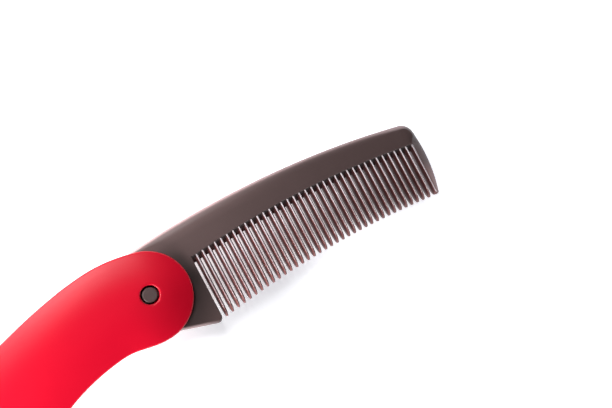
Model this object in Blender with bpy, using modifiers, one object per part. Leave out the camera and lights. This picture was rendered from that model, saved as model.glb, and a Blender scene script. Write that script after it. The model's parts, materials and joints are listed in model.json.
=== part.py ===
"""A folding pocket comb, lying open.

A comb moulded in one piece turns on a shouldered pin between the two shells of
a curved handle, and folds into the slot along the handle's lower edge.

Metres, +Z up. Plan sizes are laid out about the pivot: the comb points along
+X with its teeth along -Y, and the handle runs off towards -X. At the end the
whole comb is centred over its own origin, on the surface that it lies on.
"""
import math

import bmesh
import bpy
from mathutils import Vector

MM = 0.001

# Heights
HANDLE_THICK = 9.2 * MM
SLOT_HEIGHT = 4.8 * MM
COMB_THICK = 3.75 * MM
PARTING_GAP = 0.3 * MM
MID_HEIGHT = HANDLE_THICK / 2

# Handle outline: the round end about the pivot
ROUND_CENTRE = (-0.87 * MM, -0.33 * MM)
ROUND_RADIUS = 11.77 * MM
ROUND_TOP_DEG = 62
ROUND_BOTTOM_DEG = -92
# the shallow finger notch in the lower edge, an arc
NOTCH_CENTRE = (-7.8 * MM, -63.5 * MM)
NOTCH_RADIUS = 53.0 * MM
NOTCH_FROM_DEG = 94.5
NOTCH_TO_DEG = 111.0
# the back, from the crest above the pivot to the butt
CREST = [(-34.55 * MM, 6.95 * MM), (-28.6 * MM, 8.8 * MM), (-22.5 * MM, 10.37 * MM),
         (-16.3 * MM, 11.65 * MM), (-9.5 * MM, 12.38 * MM), (-2.95 * MM, 12.02 * MM)]
BACK_START_DEG = 18.2
BACK_RADIUS = 350.0 * MM
BACK_LENGTH = 53.8 * MM
BODY_WIDTH = 22.4 * MM
BELLY = 1.7 * MM
BELLY_LENGTH = 44.0 * MM
BUTT_DEPTH = 9.8 * MM
BUTT_FULLNESS = 2.3
OUTLINE_SPACING = 2.6 * MM

# Handle section
BACK_WALL = 1.2 * MM
WALL_FRONT_DEG = 105.0
EDGE_RADIUS = 0.6 * MM
EDGE_STEPS = 3
TOP_CROWN = (0.75 * MM, 7.8 * MM, 4)
BOTTOM_CROWN = (0.25 * MM, 3.6 * MM, 2)
MOUTH_REACH = 6.0 * MM

# Pivot
PIN_HOLE_RADIUS = 2.42 * MM
PIN_HOLE_ROUND = 0.45 * MM
PIN_END_RADIUS = 1.92 * MM
PIN_END_CHAMFER = 0.2 * MM
PIN_RECESS = 0.15 * MM
PIN_BARREL_RADIUS = 3.2 * MM
RUNNING_GAP = 0.3 * MM
TURN_SEGMENTS = 32

# Comb outline, at its widest
SPINE_CENTRE = (32.34 * MM, -269.32 * MM)
SPINE_RADIUS = 282.48 * MM
END_CENTRE = (45.37 * MM, -1.45 * MM)
END_RADIUS = 41.63 * MM
END_SLOPE = 3.0 * MM
CORNER_RADIUS = 4.0 * MM
ROOT_CENTRE = (45.2 * MM, -263.84 * MM)
ROOT_RADIUS = 269.26 * MM
TIP_CENTRE = (54.23 * MM, -291.7 * MM)
TIP_RADIUS = 279.76 * MM
DISC_RADIUS = 10.6 * MM
HEEL_RADIUS = 11.45 * MM
HEEL_DEG = 102.7
GUARD_BOTTOM_DEG = 253.0
GUARD_RIGHT_X = 13.9 * MM
GUARD_CORNER = 1.3 * MM
COMB_EDGE = 0.9 * MM

# Teeth
TOOTH_COUNT = 36
FIRST_TOOTH_X = 15.36 * MM
TOOTH_PITCH = 1.9 * MM
TOOTH_LAND = 0.42 * MM
TOOTH_WIDTH = 1.18 * MM
TOOTH_DRAFT = (TOOTH_WIDTH - TOOTH_LAND) / 2
ROOT_RAMP = 2.0 * MM
BURIED = 1.2 * MM
FACE_STEP = 0.02 * MM
TAPER = 0.058
END_GUARD_X = 83.95 * MM

# Stations along a tooth: where (share of its length), width share, thickness share
TOOTH_STATIONS = [(0.00, 1.00, 1.00), (0.55, 0.97, 1.00), (0.87, 0.90, 0.98),
                  (0.96, 0.74, 0.84), (1.00, 0.40, 0.50)]

BROWN = (0.075, 0.048, 0.045, 1)
RED = (0.72, 0.012, 0.028, 1)


def polar(centre, radius, degrees):
    """The point of a circle at an angle."""
    angle = math.radians(degrees)
    return (centre[0] + radius * math.cos(angle), centre[1] + radius * math.sin(angle))


def arc(centre, radius, start, end, count):
    """Points of a circle from one angle to another, both ends included."""
    return [polar(centre, radius, start + (end - start) * i / (count - 1)) for i in range(count)]


def circle_y(centre, radius, x):
    """Height of the upper half of a circle at x."""
    return centre[1] + math.sqrt(radius ** 2 - (x - centre[0]) ** 2)


def angle_of(centre, point):
    """Angle in degrees from a centre to a point."""
    return math.degrees(math.atan2(point[1] - centre[1], point[0] - centre[0]))


def tangent_centre(centre_a, radius_a, centre_b, radius_b, radius):
    """Centre of the circle that touches two larger circles from inside, on the right."""
    reach_a = radius_a - radius
    reach_b = radius_b - radius
    start = Vector(centre_a)
    across = Vector(centre_b) - start
    gap = across.length
    along = (reach_a ** 2 - reach_b ** 2 + gap ** 2) / (2 * gap)
    side = math.sqrt(reach_a ** 2 - along ** 2)
    direction = across / gap
    normal = Vector((-direction.y, direction.x))
    places = [start + direction * along + normal * side, start + direction * along - normal * side]
    return tuple(max(places, key=lambda place: place.x))


def smooth_loop(anchors, spacing):
    """A closed curve through the anchors, cut into even steps."""
    points = [Vector(anchor) for anchor in anchors]
    count = len(points)
    spans = [(points[(i + 1) % count] - points[i]).length for i in range(count)]
    slopes = []
    for i in range(count):
        before = (points[i] - points[i - 1]) / spans[i - 1]
        after = (points[(i + 1) % count] - points[i]) / spans[i]
        slopes.append((before * spans[i] + after * spans[i - 1]) / (spans[i] + spans[i - 1]))
    loop = []
    for i in range(count):
        start, end = points[i], points[(i + 1) % count]
        steps = max(1, round(spans[i] / spacing))
        for step in range(steps):
            t = step / steps
            loop.append((2 * t ** 3 - 3 * t ** 2 + 1) * start
                        + (t ** 3 - 2 * t ** 2 + t) * spans[i] * slopes[i]
                        + (3 * t ** 2 - 2 * t ** 3) * end
                        + (t ** 3 - t ** 2) * spans[i] * slopes[(i + 1) % count])
    return loop


def back_frame(distance):
    """A point of the handle's back past the crest, and the direction across the handle there."""
    first = math.radians(BACK_START_DEG)
    turn = first + distance / BACK_RADIUS
    across_first = Vector((math.sin(first), -math.cos(first)))
    across = Vector((math.sin(turn), -math.cos(turn)))
    centre = Vector(CREST[0]) + across_first * BACK_RADIUS
    return centre - across * BACK_RADIUS, across


def handle_outline():
    """The handle's edge, anticlockwise from the wall's front end over the back to the round end."""
    stations = [BACK_LENGTH * i / 6 for i in range(1, 7)]
    back = [back_frame(distance)[0] for distance in stations]
    belly = []
    for distance in stations:
        point, across = back_frame(distance)
        width = BODY_WIDTH + BELLY * math.sin(math.pi * distance / BELLY_LENGTH)
        belly.append(point + across * width)
    middle = (back[-1] + belly[-1]) / 2
    half = (belly[-1] - back[-1]) / 2
    along = Vector((half.y, -half.x)).normalized() * BUTT_DEPTH
    butt = []
    for i in range(1, 8):
        angle = math.pi * i / 8
        out = math.sin(angle) ** (2 / BUTT_FULLNESS)
        side = math.cos(angle)
        side = math.copysign(abs(side) ** (2 / BUTT_FULLNESS), side)
        butt.append(middle - half * side + along * out)
    notch = arc(NOTCH_CENTRE, NOTCH_RADIUS, NOTCH_TO_DEG, NOTCH_FROM_DEG, 5)
    round_end = arc(ROUND_CENTRE, ROUND_RADIUS, ROUND_BOTTOM_DEG, ROUND_TOP_DEG, 15)
    anchors = list(reversed(CREST)) + back + butt + list(reversed(belly)) + notch + round_end
    return smooth_loop(anchors, OUTLINE_SPACING)


def outward(loop):
    """Unit normals of an anticlockwise loop."""
    normals = []
    for i, point in enumerate(loop):
        run = loop[(i + 1) % len(loop)] - loop[i - 1]
        normals.append(Vector((run.y, -run.x)).normalized())
    return normals


def slot_outline(outline):
    """Plan of the slot: a wall's thickness inside the back and butt, and open past the rest."""
    front = min(range(len(outline)),
                key=lambda i: abs(angle_of((0, 0), outline[i]) - WALL_FRONT_DEG))
    last = max(range(len(outline)), key=lambda i: -outline[i].y)
    loop = []
    for i, (point, normal) in enumerate(zip(outline, outward(outline))):
        walled = front <= i < last
        loop.append(point + normal * (-BACK_WALL if walled else MOUTH_REACH))
    return loop


def new_object(name, mesh, collection, material=None):
    """Put a mesh in the scene under its name."""
    thing = bpy.data.objects.new(name, mesh)
    collection.objects.link(thing)
    if material:
        mesh.materials.append(material)
    return thing


def finished_mesh(name, bm):
    """Turn a bmesh with outward faces into a smooth-shaded mesh."""
    bmesh.ops.recalc_face_normals(bm, faces=bm.faces)
    mesh = bpy.data.meshes.new(name)
    bm.to_mesh(mesh)
    bm.free()
    mesh.shade_smooth()
    mesh.set_sharp_from_angle(angle=math.radians(35))
    return mesh


def loft(bm, rings):
    """Skin a run of rings of equal count and close both ends."""
    rows = [[bm.verts.new(point) for point in ring] for ring in rings]
    count = len(rows[0])
    for low, high in zip(rows, rows[1:]):
        for i in range(count):
            j = (i + 1) % count
            bm.faces.new((low[i], low[j], high[j], high[i]))
    bm.faces.new(reversed(rows[0]))
    bm.faces.new(rows[-1])


def prism(name, loop, low, high):
    """A flat outline raised between two heights."""
    bm = bmesh.new()
    loft(bm, [[(point[0], point[1], z) for point in loop] for z in (low, high)])
    return finished_mesh(name, bm)


def crowned_slab(name, outline, base, side, crown):
    """A slab with an upright side, a rounded edge and a crowned face, facing +Z."""
    rise, reach, rings = crown
    bm = bmesh.new()
    face = bm.faces.new([bm.verts.new((point.x, point.y, base)) for point in outline])
    raised = bmesh.ops.extrude_face_region(bm, geom=[face], use_keep_orig=True)
    top = next(item for item in raised["geom"] if isinstance(item, bmesh.types.BMFace))
    bmesh.ops.translate(bm, verts=top.verts, vec=(0, 0, side))
    top.normal_update()
    if top.normal.z < 0:
        top.normal_flip()
    profile = [(EDGE_RADIUS * (1 - math.cos(a)), EDGE_RADIUS * math.sin(a))
               for a in (math.pi / 2 * i / EDGE_STEPS for i in range(EDGE_STEPS + 1))]
    for i in range(1, rings + 1):
        share = i / rings
        profile.append((EDGE_RADIUS + reach * share,
                        EDGE_RADIUS + rise * (1 - (1 - share) ** 2)))
    for (inset, height), (next_inset, next_height) in zip(profile, profile[1:]):
        bmesh.ops.inset_region(bm, faces=[top], thickness=next_inset - inset,
                               depth=next_height - height, use_even_offset=True)
    return finished_mesh(name, bm)


def turned(name, profile, collection, material=None):
    """A profile of (radius, height) from top to bottom, turned about Z."""
    mesh = bpy.data.meshes.new(name)
    mesh.from_pydata([(radius, 0, z) for radius, z in profile],
                     [(i, i + 1) for i in range(len(profile) - 1)], [])
    thing = new_object(name, mesh, collection, material)
    screw = thing.modifiers.new("turn", "SCREW")
    screw.steps = TURN_SEGMENTS
    screw.render_steps = TURN_SEGMENTS
    screw.use_merge_vertices = True
    screw.merge_threshold = 0.00001
    screw.use_smooth_shade = True
    return thing


def boolean(thing, other, operation):
    """Cut a solid by another, or join another to it."""
    modifier = thing.modifiers.new(other.name, "BOOLEAN")
    modifier.object = other
    modifier.operation = operation
    modifier.solver = "EXACT"
    other.hide_render = True
    other.display_type = "WIRE"


def pin_hole_cutter(name, collection):
    """A round hole with a rounded rim at its outer face, which is at z = 0 with the metal below."""
    depth = HANDLE_THICK / 2
    rim = [(PIN_HOLE_RADIUS + PIN_HOLE_ROUND * (1 - math.cos(a)),
            -PIN_HOLE_ROUND * (1 - math.sin(a)))
           for a in (math.pi / 2 * i / 4 for i in range(5))]
    widest = rim[-1][0]
    profile = [(0, MM), (widest, MM)] + list(reversed(rim)) + [(PIN_HOLE_RADIUS, -depth), (0, -depth)]
    return turned(name, profile, collection)


def mirrored(loop):
    """The loop seen from below, still anticlockwise."""
    return [Vector((point.x, -point.y)) for point in reversed(loop)]


def handle_shell(name, outline, slot_loop, crown, collection, cutters, material):
    """One shell, modelled with its outer face up: a plate with half of the back wall under it."""
    inner = PARTING_GAP / 2
    outer = HANDLE_THICK / 2
    side = outer - inner - EDGE_RADIUS - crown[0]
    mesh = crowned_slab(name, outline, inner, side, crown)
    shell = new_object(name, mesh, collection, material)
    slot = new_object(name + "_slot", prism(name + "_slot", slot_loop, -MM, SLOT_HEIGHT / 2),
                      cutters)
    hole = pin_hole_cutter(name + "_hole", cutters)
    hole.location.z = outer
    for cutter in (slot, hole):
        cutter.parent = shell
        boolean(shell, cutter, "DIFFERENCE")
    return shell


def slope_share(share):
    """How far in the end's long slope has come at a share of the height from middle to face."""
    return max(0.0, (share - 0.12) / 0.88) ** 1.25


def comb_level(height):
    """The comb body's outline at a height above its middle plane, without the teeth."""
    half = COMB_THICK / 2
    share = height / half
    start = half - COMB_EDGE
    edge = 0.0
    if height > start:
        edge = COMB_EDGE - math.sqrt(COMB_EDGE ** 2 - (height - start) ** 2)
    drop = ROOT_RAMP * (1 - share)
    draft = TOOTH_DRAFT * (1 - share)

    disc = arc((0, 0), DISC_RADIUS - edge, HEEL_DEG, GUARD_BOTTOM_DEG, 14)

    bottom = Vector(polar((0, 0), 1, GUARD_BOTTOM_DEG))
    corner_x = GUARD_RIGHT_X - GUARD_CORNER
    corner_y = (DISC_RADIUS - GUARD_CORNER - bottom.x * corner_x) / bottom.y
    corner = []
    for i in range(6):
        turn = i / 5
        radius = GUARD_CORNER + draft * turn - edge * (1 - turn)
        degrees = GUARD_BOTTOM_DEG + (360 - GUARD_BOTTOM_DEG) * turn
        corner.append(polar((corner_x, corner_y), radius, degrees))

    right_x = GUARD_RIGHT_X + draft
    guard_right = [(right_x, corner_y * 0.35)]

    end_x = END_CENTRE[0] + END_RADIUS - 0.12 * MM - END_SLOPE * slope_share(share)
    root = []
    for i in range(20):
        x = right_x + (end_x - right_x) * i / 19
        root.append((x, circle_y(ROOT_CENTRE, ROOT_RADIUS, x) - drop))

    tip_corner = tangent_centre(END_CENTRE, END_RADIUS, SPINE_CENTRE, SPINE_RADIUS, CORNER_RADIUS)
    end_low = math.degrees(math.asin((root[-1][1] - END_CENTRE[1]) / END_RADIUS))
    end_high = angle_of(END_CENTRE, tip_corner)
    end = []
    for i in range(1, 6):
        turn = i / 5
        inset = edge * turn + END_SLOPE * slope_share(share) * (1 - turn)
        end.append(polar(END_CENTRE, END_RADIUS - inset, end_low + (end_high - end_low) * turn))
    spine_start = angle_of(SPINE_CENTRE, tip_corner)
    rounded = arc(tip_corner, CORNER_RADIUS - edge, end_high, spine_start, 6)[1:]
    heel_start = math.degrees(math.acos((MM - SPINE_CENTRE[0]) / SPINE_RADIUS))
    spine = arc(SPINE_CENTRE, SPINE_RADIUS - edge, spine_start, heel_start, 22)[1:]
    heel = arc((0, 0), HEEL_RADIUS - edge, 84, HEEL_DEG, 4)[1:]
    return disc + corner + guard_right + root + end + rounded + spine + heel


def comb_body(name):
    """Spine, heel guard and pivot disc, lofted from the lower face through the middle."""
    half = COMB_THICK / 2
    start = half - COMB_EDGE
    heights = [0, start]
    heights += [start + COMB_EDGE * math.sin(math.radians(angle)) for angle in (30, 60, 90)]
    levels = [-height for height in reversed(heights[1:])] + heights
    bm = bmesh.new()
    loft(bm, [[(x, y, z) for x, y in comb_level(abs(z))] for z in levels])
    return finished_mesh(name, bm)


def tooth_rings(x, length, root_y):
    """Sections of one tooth: a narrow land on each face and drafted flanks between them."""
    half = COMB_THICK / 2 - FACE_STEP
    rings = [(root_y + BURIED, 1.0, half - BURIED * 0.08)]
    for where, wide, thick in TOOTH_STATIONS:
        run = length * where
        rings.append((root_y - run, wide, (half - TAPER * run) * thick))
    skins = []
    for y, wide, high in rings:
        land = TOOTH_LAND / 2 * wide
        flank = TOOTH_WIDTH / 2 * wide
        side = [(land, high), (flank, 0.22 * high), (flank, -0.22 * high), (land, -high)]
        skins.append([(x + a, y, b) for a, b in side]
                     + [(x - a, y, b) for a, b in reversed(side)])
    return skins


def end_guard_rings(root_y):
    """Sections of the end guard: drafted like a tooth inside, rounded over outside."""
    half = COMB_THICK / 2 - FACE_STEP
    tip_y = circle_y(TIP_CENTRE, TIP_RADIUS, END_GUARD_X)
    length = root_y - tip_y
    skins = []
    for where, thick in [(-0.075, 0.93), (0, 1), (0.25, 1), (0.5, 1), (0.72, 1), (0.88, 0.97),
                         (0.96, 0.85), (1.0, 0.55)]:
        y = root_y - length * where
        outer = END_CENTRE[0] + math.sqrt(END_RADIUS ** 2 - (y - END_CENTRE[1]) ** 2)
        outer -= 0.04 * MM if where < 0.9 else (where - 0.9) * 2 * MM
        inner = END_GUARD_X - TOOTH_DRAFT
        ridge = END_GUARD_X + TOOTH_LAND / 2
        high = (half - TAPER * max(0, length * where)) * thick
        side = [(inner, 0.22 * high), (END_GUARD_X - TOOTH_LAND / 2, high), (ridge, high)]
        for share in (0.76, 0.52, 0.12):
            side.append((outer - (outer - ridge) * slope_share(share), share * high))
        skins.append([(a, y, b) for a, b in side] + [(a, y, -b) for a, b in reversed(side)])
    return skins


def teeth_mesh(name):
    """All the teeth and the end guard, each buried a little way into the spine."""
    bm = bmesh.new()
    for i in range(TOOTH_COUNT):
        x = FIRST_TOOTH_X + i * TOOTH_PITCH
        root_y = circle_y(ROOT_CENTRE, ROOT_RADIUS, x)
        loft(bm, tooth_rings(x, root_y - circle_y(TIP_CENTRE, TIP_RADIUS, x), root_y))
    loft(bm, end_guard_rings(circle_y(ROOT_CENTRE, ROOT_RADIUS, END_GUARD_X)))
    return finished_mesh(name, bm)


def pivot_pin(name, collection, material):
    """A shouldered pin: a barrel inside the comb's bore and an end through each shell."""
    end = HANDLE_THICK / 2 - PIN_RECESS
    shoulder = SLOT_HEIGHT / 2 - RUNNING_GAP
    upper = [(0, end), (PIN_END_RADIUS - PIN_END_CHAMFER, end),
             (PIN_END_RADIUS, end - PIN_END_CHAMFER), (PIN_END_RADIUS, shoulder),
             (PIN_BARREL_RADIUS, shoulder)]
    profile = upper + [(radius, -z) for radius, z in reversed(upper)]
    return turned(name, profile, collection, material)


def plastic(name, colour, roughness):
    """A moulded plastic."""
    material = bpy.data.materials.new(name)
    material.use_nodes = True
    shader = material.node_tree.nodes["Principled BSDF"]
    shader.inputs["Base Color"].default_value = colour
    shader.inputs["Roughness"].default_value = roughness
    shader.inputs["Metallic"].default_value = 0.0
    material.diffuse_color = colour
    return material


def new_collection(name):
    """A collection in the scene."""
    collection = bpy.data.collections.new(name)
    bpy.context.scene.collection.children.link(collection)
    return collection


def new_empty(name, collection, place, parent=None):
    """A frame that other pieces hang on."""
    empty = bpy.data.objects.new(name, None)
    collection.objects.link(empty)
    empty.location = place
    empty.parent = parent
    return empty


def centre_over_origin(frame, parts):
    """Move the frame so that the parts' box is centred in plan over the world origin."""
    bpy.context.view_layer.update()
    graph = bpy.context.evaluated_depsgraph_get()
    corners = []
    for part in parts:
        seen = part.evaluated_get(graph)
        corners += [seen.matrix_world @ Vector(corner) for corner in seen.bound_box]
    for axis in (0, 1):
        values = [corner[axis] for corner in corners]
        frame.location[axis] -= (min(values) + max(values)) / 2
    bpy.context.view_layer.update()


def main():
    for thing in list(bpy.data.objects):
        bpy.data.objects.remove(thing, do_unlink=True)
    parts = new_collection("folding_pocket_comb")
    cutters = new_collection("cutters")
    brown = plastic("brown_plastic", BROWN, 0.38)
    red = plastic("red_plastic", RED, 0.3)

    frame = new_empty("handle_frame", parts, (0, 0, 0))
    hinge = new_empty("comb_hinge", parts, (0, 0, MID_HEIGHT), frame)

    outline = handle_outline()
    slot_loop = slot_outline(outline)
    top = handle_shell("handle_top", outline, slot_loop, TOP_CROWN, parts, cutters, red)
    bottom = handle_shell("handle_bottom", mirrored(outline), mirrored(slot_loop), BOTTOM_CROWN,
                          parts, cutters, red)
    bottom.rotation_euler.x = math.pi
    for shell in (top, bottom):
        shell.parent = frame
        shell.location.z = MID_HEIGHT

    pin = pivot_pin("pivot_pin", parts, brown)
    pin.parent = frame
    pin.location.z = MID_HEIGHT

    blade = new_object("comb_blade", comb_body("comb_blade"), parts, brown)
    teeth = new_object("teeth", teeth_mesh("teeth"), cutters)
    reach = COMB_THICK
    bore_radius = PIN_BARREL_RADIUS + RUNNING_GAP
    bore = turned("bore", [(0, reach), (bore_radius, reach), (bore_radius, -reach), (0, -reach)],
                  cutters)
    boolean(blade, teeth, "UNION")
    boolean(blade, bore, "DIFFERENCE")
    for piece in (blade, teeth, bore):
        piece.parent = hinge

    centre_over_origin(frame, [top, bottom, blade, pin])


main()
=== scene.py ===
# %% [markdown]
# # A folding pocket comb
#
# The comb lies open on a white surface: a dark brown moulding with drafted teeth, which turns
# on a pin in a red handle made of two shells.
# The solid model is loaded first and never changed. Everything else is dressed around it in its
# frame, in metres, with +Z up and the pivot's axis upright.
# %% Load the fixed model
import json
import math

import bmesh
import bpy
from mathutils import Euler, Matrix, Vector
from mathutils.kdtree import KDTree


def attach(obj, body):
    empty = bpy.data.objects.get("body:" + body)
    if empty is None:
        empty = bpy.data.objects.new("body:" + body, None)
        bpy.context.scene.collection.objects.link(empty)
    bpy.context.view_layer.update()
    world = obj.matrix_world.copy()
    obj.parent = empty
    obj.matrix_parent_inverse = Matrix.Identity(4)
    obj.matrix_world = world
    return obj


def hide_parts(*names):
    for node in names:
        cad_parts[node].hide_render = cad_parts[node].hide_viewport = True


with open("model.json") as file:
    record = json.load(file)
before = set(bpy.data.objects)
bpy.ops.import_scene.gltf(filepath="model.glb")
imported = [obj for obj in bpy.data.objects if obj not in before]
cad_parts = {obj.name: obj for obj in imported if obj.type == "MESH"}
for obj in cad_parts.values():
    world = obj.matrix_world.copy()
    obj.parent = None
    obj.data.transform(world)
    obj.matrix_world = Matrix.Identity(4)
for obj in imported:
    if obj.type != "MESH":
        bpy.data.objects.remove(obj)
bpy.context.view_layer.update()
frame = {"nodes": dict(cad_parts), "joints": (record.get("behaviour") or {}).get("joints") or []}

MM = 0.001
pivot = Vector(frame["joints"][0]["pos_m"])


def in_mm(lengths):
    """Lengths in millimetres, rounded for printing."""
    return [round(length / MM, 2) for length in lengths]


print("loaded", sorted(frame["nodes"]), "with the pivot at", in_mm(pivot), "mm")

# %% [markdown]
# ## The view
#
# The photograph looks down on the comb from about a hand's length, with a normal lens.
# The row of teeth, which are parallel and evenly spaced on the real comb, fans out towards one
# vanishing point in the picture, and that gives the camera's tilt of 17 degrees.
# The tooth spacing then gives its height and its place beside the pivot. Placing it by eye would
# match one corner of the picture and miss the others.
# %% Put the camera where the photographer stood
CAMERA_BESIDE_PIVOT = (-19.6513 * MM, 11.1233 * MM)
CAMERA_HEIGHT = 225.545 * MM
CAMERA_TURN = (6.00237727, -16.29170876, -28.54837172)
SENSOR_MM, LENS_MM = 36, 50

camera_data = bpy.data.cameras.new("camera")
camera_data.sensor_width = SENSOR_MM
camera_data.lens = LENS_MM
camera_data.clip_start = 5 * MM
camera = bpy.data.objects.new("camera", camera_data)
bpy.context.scene.collection.objects.link(camera)
camera.location = (pivot.x + CAMERA_BESIDE_PIVOT[0], pivot.y + CAMERA_BESIDE_PIVOT[1],
                   CAMERA_HEIGHT)
camera.rotation_euler = Euler([math.radians(angle) for angle in CAMERA_TURN])
bpy.context.scene.camera = camera
print("camera at", in_mm(camera.location), "mm")

# %% [markdown]
# ## Nodes written as arithmetic
#
# The white room and both plastics are painted by arithmetic on directions and places, so no
# picture is needed and a finish keeps its scale from every side.
# Nodes added one by one would make long cells that hide the sum they do. A small class wraps a
# socket, so that a line such as `1 - mask` adds its Math node by itself.
# %% Write shader maths as plain arithmetic
class Flow:
    """A socket that values come out of, with arithmetic that adds Math nodes."""

    def __init__(self, bench, socket):
        self.bench, self.socket = bench, socket

    def maths(self, operation, first, second=0.0):
        return self.bench.node("ShaderNodeMath", {"operation": operation}, {0: first, 1: second})

    def __add__(self, other):
        return self.maths("ADD", self, other)

    def __sub__(self, other):
        return self.maths("SUBTRACT", self, other)

    def __rsub__(self, other):
        return self.maths("SUBTRACT", other, self)

    def __mul__(self, other):
        return self.maths("MULTIPLY", self, other)

    def __truediv__(self, other):
        return self.maths("DIVIDE", self, other)

    def __abs__(self):
        return self.maths("ABSOLUTE", self)

    __radd__ = __add__
    __rmul__ = __mul__


print("sums, shares and masks can be written as arithmetic")

# %% [markdown]
# The other nodes come from one method, which takes a node's settings before its values and links.
# The few that come back in every finish get short names of their own.
# %% Wire up a node tree
class Bench:
    """A node tree that is wired up from code."""

    def __init__(self, owner):
        owner.use_nodes = True
        self.tree = owner.node_tree

    def feed(self, node, sockets):
        """Link flows to a node's sockets, or set the sockets' own values."""
        for name, value in sockets.items():
            socket = node.inputs[name]
            if isinstance(value, Flow):
                self.tree.links.new(value.socket, socket)
            elif isinstance(value, (int, float)):
                socket.default_value = value
            else:
                socket.default_value = (*value, 1)[:len(socket.default_value)]

    def node(self, kind, settings, sockets, output=0):
        """Add a node and give back one of its outputs."""
        made = self.tree.nodes.new(kind)
        for setting, value in settings.items():
            setattr(made, setting, value)
        self.feed(made, sockets)
        return Flow(self, made.outputs[output])

    def vector(self, operation, sockets, output=0):
        """The same for a sum on whole vectors."""
        return self.node("ShaderNodeVectorMath", {"operation": operation}, sockets, output)

    def fade(self, value, start, end):
        """A mask that turns on smoothly as a value goes from start to end."""
        return self.node("ShaderNodeMapRange", {"interpolation_type": "SMOOTHSTEP"},
                         {"Value": value, "From Min": start, "From Max": end})

    def fade_mm(self, value, start, end):
        """The same for a length, with its start and end in millimetres."""
        return self.fade(value, start * MM, end * MM)

    def axis(self, place, letter):
        """One coordinate of a place."""
        return self.node("ShaderNodeSeparateXYZ", {}, {0: place}, letter)

    def distance(self, place, centre):
        """How far a place lies from a fixed point."""
        return self.vector("DISTANCE", {0: place, 1: centre}, "Value")

    def mix(self, mask, off, on):
        """One colour where a mask is off, another where it is on."""
        return self.node("ShaderNodeMix", {"data_type": "RGBA"}, {0: mask, 6: off, 7: on}, 2)

    def brighten(self, colour, gain):
        """A colour times a plain value."""
        return self.vector("SCALE", {"Vector": colour, "Scale": gain})

    def noise(self, place, scale, detail=2.0):
        """Even noise about a half, with so many grains to a metre."""
        return self.node("ShaderNodeTexNoise", {}, {"Vector": place, "Scale": scale,
                                                    "Detail": detail, "Roughness": 0.6})


print("ready to wire up", [name for name in vars(Bench) if not name.startswith("_")])

# %% [markdown]
# ## Four arcs
#
# Combs are drawn with a compass: the spine, the roots of the teeth and their tips each lie on one
# large arc, and the end closes with another. Each arc is a centre, from the pivot, and a radius.
# They are the arcs of the solid model, so the finer pieces keep its outline, and the plastics and
# the table use them too, to find the teeth.
# %% Name the comb's arcs
SPINE = ((32.34 * MM, -269.32 * MM), 282.78 * MM)
ROOT = ((45.2 * MM, -263.84 * MM), 269.26 * MM)
TIP = ((54.23 * MM, -291.7 * MM), 279.76 * MM)
END = ((45.37 * MM, -1.45 * MM), 41.88 * MM)
print("arcs of radius", in_mm(circle[1] for circle in (SPINE, ROOT, TIP, END)), "mm")

# %% [markdown]
# ## The table
#
# The surface is plain white and so brightly lit that it clips in the photograph.
# The comb throws only a pale shadow, so the table glows a little, which is painted light: least
# beside the heel guard, a painted shadow where the shadow is deepest, and almost fully two finger
# widths away. Between the teeth the glow falls off from the handle to the end as painted shade,
# as the floor does under the real comb.
# Stronger lamps alone would whiten the surface too, but they would wash out the red with it.
# %% Lay the table
TABLE_DROP = 0.02 * MM
bpy.ops.object.select_all(action="DESELECT")
bpy.ops.mesh.primitive_plane_add(size=3, location=(0, 0, -TABLE_DROP))
table = bpy.context.object
table.name = "table"

table_white = bpy.data.materials.new("table_white")
bench = Bench(table_white)
table_shader = bench.tree.nodes["Principled BSDF"]
bench.feed(table_shader, {"Base Color": (0.93, 0.93, 0.94), "Roughness": 0.9,
                          "Specular IOR Level": 0.1})
table.data.materials.append(table_white)
print("table", in_mm(table.dimensions[:2]), "mm")

# %% Let the table glow
GLOW_IN_PAINTED_SHADOW = (0.22, 0.23, 0.265)
GLOW_FAR = (0.82, 0.83, 0.88)
PAINTED_GLOW_BETWEEN_TEETH = (0.75, 0.70, 0.715)
SHADE_PLACE = (pivot.x + 21 * MM, pivot.y - 13 * MM, 0)
ROOT_CENTRE = (pivot.x + ROOT[0][0], pivot.y + ROOT[0][1], 0)
PAINTED_SHADE_TO_TIPS, PAINTED_SHADE_TO_END = 0.4, 0.5

# Painted light: a painted shadow around SHADE_PLACE, and painted shade between the teeth.
place = bench.node("ShaderNodeTexCoord", {}, {}, "Object")
lit = bench.fade_mm(bench.distance(place, SHADE_PLACE), 8, 40)
around = bench.mix(lit, GLOW_IN_PAINTED_SHADOW, GLOW_FAR)
below = ROOT[1] - bench.distance(place, ROOT_CENTRE)
along = bench.axis(place, "X")
under = (bench.fade_mm(below, -1, 1) * bench.fade_mm(below, 19, 12)
         * bench.fade_mm(along, 12, 16) * bench.fade_mm(along, 90, 80))
dim = ((1 - bench.fade_mm(below, 4, 9) * PAINTED_SHADE_TO_TIPS)
       * (1 - bench.fade_mm(along, 22, 85) * PAINTED_SHADE_TO_END))
striped = bench.brighten(PAINTED_GLOW_BETWEEN_TEETH, dim)
bench.feed(table_shader, {"Emission Color": bench.mix(under, around, striped),
                          "Emission Strength": 1.0})
print("the glow has", len(bench.tree.nodes), "nodes")

# %% [markdown]
# ## The lights
#
# Low softboxes stand close by on the left: they make the red brightest there, halve it towards
# the round end, and put the heel guard in the handle's shade.
# A larger one hangs above the spine, so the soft shadow of the teeth falls below them.
# Area lights stand in for the panels. Point lamps would be simpler, but each tooth would throw
# a hard line.
# Each strength was found by rendering one light at a time and weighing them against the photo.
# A line below gives a box's bearing and height in degrees, its distance and side in metres, and
# its power in watts.
# %% Hang the softboxes
bpy.context.scene.view_settings.view_transform = "Standard"
AIM = Vector((0, 0, 5 * MM))
WARM, PLAIN = (1.0, 0.98, 0.95), (1.0, 1.0, 1.0)


def polar(centre, radius, degrees):
    """The point of a circle at an angle."""
    angle = math.radians(degrees)
    return (centre[0] + radius * math.cos(angle), centre[1] + radius * math.sin(angle))


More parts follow.
